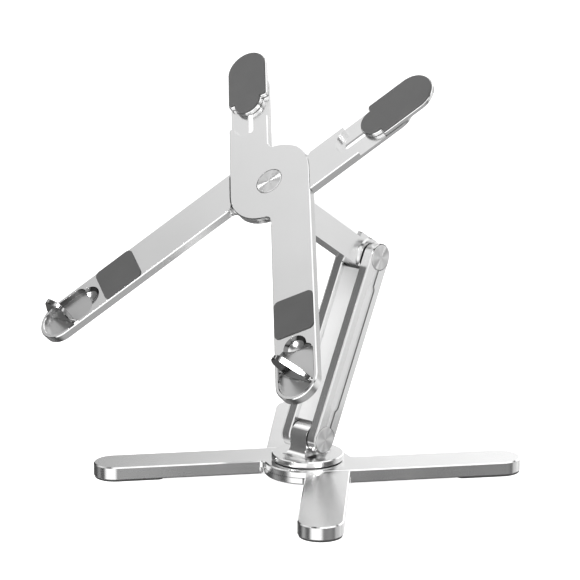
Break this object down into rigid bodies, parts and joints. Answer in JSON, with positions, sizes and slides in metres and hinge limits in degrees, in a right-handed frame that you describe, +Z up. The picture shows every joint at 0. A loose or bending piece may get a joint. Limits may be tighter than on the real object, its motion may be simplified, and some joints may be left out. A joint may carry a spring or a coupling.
{
  "type": "laptop stand",
  "caption": "Folding aluminium laptop stand with a cross-shaped foldable base, a swivelling two-link arm and an X-shaped tray with sliding padded ends and flip-up stops.",
  "frame": {"origin": "on the swivel axis, on the surface that the feet and the hub cover rest on", "axes": "+Z up; X along the hinge pins; the user sits on the -Y side, and the tray leans back towards +Y"},
  "size_m": [0.215, 0.2171, 0.2423],
  "materials": {
    "satin_aluminium": "satin, with bright chamfers",
    "turned_aluminium": "turned or polished, with a radial sheen",
    "steel": "plain",
    "pad_rubber": "fine matte grey silicone",
    "foot_rubber": "matte dark",
    "acetal": "matte"
  },
  "bodies": {
    "base": {"base_bar_upper": "satin_aluminium", "foot_right": "foot_rubber", "foot_left": "foot_rubber"},
    "base_lower": {"base_bar_lower": "satin_aluminium", "foot_front": "foot_rubber", "foot_rear": "foot_rubber", "hub_cover": "foot_rubber"},
    "turret": {"swivel_turret": "satin_aluminium", "base_pivot_bolt": "steel", "swivel_ring": "acetal"},
    "lower_link": {"lower_link": "satin_aluminium", "lower_hinge_pin": "steel", "lower_hinge_cap_right": "turned_aluminium", "lower_hinge_cap_left": "turned_aluminium", "lower_hinge_washer_right": "acetal", "lower_hinge_washer_left": "acetal", "elbow_pin": "steel", "elbow_cap_right": "turned_aluminium", "elbow_cap_left": "turned_aluminium", "elbow_washer_right": "acetal", "elbow_washer_left": "acetal"},
    "upper_link": {"upper_link": "satin_aluminium"},
    "tray_centre": {"tray_bracket": "satin_aluminium", "tray_hinge_pin": "steel", "tray_hinge_cap_right": "turned_aluminium", "tray_hinge_cap_left": "turned_aluminium", "tray_pivot_screw": "turned_aluminium", "tray_pivot_washer": "acetal"},
    "front_arm": {"front_arm": "satin_aluminium", "front_lower_pad": "pad_rubber", "front_stop_pin": "steel"},
    "front_slider": {"front_slider": "satin_aluminium", "front_slider_pad": "pad_rubber", "front_guide_screw_1": "steel", "front_guide_screw_2": "steel"},
    "front_flap": {"front_stop_flap": "turned_aluminium"},
    "rear_arm": {"rear_arm": "satin_aluminium", "rear_lower_pad": "pad_rubber", "rear_stop_pin": "steel"},
    "rear_slider": {"rear_slider": "satin_aluminium", "rear_slider_pad": "pad_rubber", "rear_guide_screw_1": "steel", "rear_guide_screw_2": "steel"},
    "rear_flap": {"rear_stop_flap": "turned_aluminium"}
  },
  "joints": [
    {"name": "base_fold", "type": "hinge", "parent": "base", "child": "base_lower", "pos_m": [0, 0, 0.0048], "axis": [0, 0, 1], "range_deg": [-77.4, 0]},
    {"name": "swivel", "type": "hinge", "parent": "base", "child": "turret", "pos_m": [0, 0, 0.009], "axis": [0, 0, 1], "continuous": true},
    {"name": "lower_hinge", "type": "hinge", "parent": "turret", "child": "lower_link", "pos_m": [0, 0, 0.0233], "axis": [-1, 0, 0], "range_deg": [-25, 64.8]},
    {"name": "elbow_hinge", "type": "hinge", "parent": "lower_link", "child": "upper_link", "pos_m": [0, 0.04803, 0.12536], "axis": [-1, 0, 0], "range_deg": [-10, 82]},
    {"name": "tray_tilt", "type": "hinge", "parent": "upper_link", "child": "tray_centre", "pos_m": [0, -0.02112, 0.17036], "axis": [-1, 0, 0], "range_deg": [-90, 80]},
    {"name": "front_arm_fold", "type": "hinge", "parent": "tray_centre", "child": "front_arm", "pos_m": [0, -0.03246, 0.18093], "axis": [0, 0.7314, -0.682], "range_deg": [0, 34.7]},
    {"name": "rear_arm_fold", "type": "hinge", "parent": "tray_centre", "child": "rear_arm", "pos_m": [0, -0.03246, 0.18093], "axis": [0, -0.7314, 0.682], "range_deg": [0, 34.7]},
    {"name": "front_slider_travel", "type": "slide", "parent": "front_arm", "child": "front_slider", "axis": [-0.5693, 0.5607, 0.6013], "range_m": [-0.0155, 0]},
    {"name": "front_flap_fold", "type": "hinge", "parent": "front_arm", "child": "front_flap", "pos_m": [0.09417, -0.1074, 0.09837], "axis": [-1, 0, 0], "range_deg": [0, 90]},
    {"name": "rear_slider_travel", "type": "slide", "parent": "rear_arm", "child": "rear_slider", "axis": [0.5693, 0.5607, 0.6013], "range_m": [-0.0155, 0]},
    {"name": "rear_flap_fold", "type": "hinge", "parent": "rear_arm", "child": "rear_flap", "pos_m": [-0.09417, -0.1074, 0.09837], "axis": [-1, 0, 0], "range_deg": [0, 90]}
  ]
}
